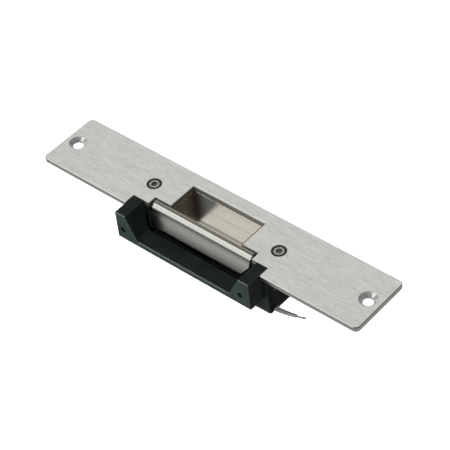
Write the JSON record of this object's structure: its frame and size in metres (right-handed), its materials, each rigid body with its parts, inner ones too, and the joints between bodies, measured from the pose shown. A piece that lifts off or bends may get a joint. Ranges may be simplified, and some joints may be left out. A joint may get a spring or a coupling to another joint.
{
  "type": "electric door strike",
  "caption": "Electric door strike: a long satin faceplate with a latch window, a hinged keeper, a black lip bracket and a shallow body that holds the solenoid release.",
  "frame": {"origin": "centre of the faceplate's front face, midway between the two frame-screw holes", "axes": "+X along the faceplate, +Y away from the lip, +Z out of the front face"},
  "size_m": [0.2016, 0.0446, 0.028],
  "materials": {
    "stainless_plate": "brushed along its length, satin",
    "screw_steel": "satin, plain",
    "black_casting": "satin black coating on a fine cast texture",
    "black_cover": "satin black",
    "nickel_pocket": "bright, softly reflecting",
    "keeper_steel": "satin, brushed along its length",
    "bronze": "turned",
    "ground_steel": "ground",
    "black_steel": "blackened",
    "spring_steel": "drawn wire",
    "zinc_steel": "zinc plated",
    "bobbin_nylon": "moulded",
    "copper_wire": "enamelled copper wire",
    "board_green": "glass-fibre board",
    "diode_black": "moulded epoxy",
    "tinned_brass": "tinned",
    "lead_insulation": "soft grey-white insulation",
    "tinned_copper": "tinned strands",
    "grommet_rubber": "matt"
  },
  "bodies": {
    "strike_body": {"faceplate": "stainless_plate", "faceplate_screws": "screw_steel", "lip_bracket": "black_casting", "housing": "black_casting", "back_cover": "black_cover", "cover_screws": "screw_steel", "latch_pocket": "nickel_pocket", "keeper_pin": "ground_steel", "keeper_pin_grub_screw": "black_steel", "keeper_springs": "spring_steel", "lever_pivot_pin": "ground_steel", "plunger_return_spring": "spring_steel", "solenoid_frame": "zinc_steel", "solenoid_bobbin": "bobbin_nylon", "coil_winding": "copper_wire", "core_stop": "zinc_steel", "solenoid_screws": "screw_steel", "terminal_board": "board_green", "board_screws": "screw_steel", "terminal_pins": "tinned_brass", "surge_diode": "diode_black", "coil_leads": "copper_wire", "lead_wires": "lead_insulation", "lead_wire_ends": "tinned_copper", "lead_grommet": "grommet_rubber"},
    "keeper_body": {"keeper": "keeper_steel", "keeper_bushes": "bronze"},
    "plunger_body": {"plunger": "ground_steel", "plunger_link_pin": "ground_steel"},
    "lever_body": {"locking_lever": "zinc_steel"}
  },
  "joints": [
    {"name": "keeper_swing", "type": "hinge", "parent": "strike_body", "child": "keeper_body", "pos_m": [0, -0.0103, -0.0136], "axis": [1, 0, 0], "range_deg": [0, 42], "stiffness_Nm_per_rad": 0.02, "springref_deg": -20.05},
    {"name": "plunger_slide", "type": "slide", "parent": "strike_body", "child": "plunger_body", "axis": [1, 0, 0], "range_m": [0, 0.00169], "deforming": ["plunger_return_spring"]},
    {"name": "lever_swing", "type": "hinge", "parent": "strike_body", "child": "lever_body", "pos_m": [-0.0035, 0.001, -0.023], "axis": [0, 0, 1], "range_deg": [-16, 0]}
  ],
  "couplings": [
    {"joint": "lever_swing", "follows": "plunger_slide", "rad_per_m": -165.58}
  ]
}
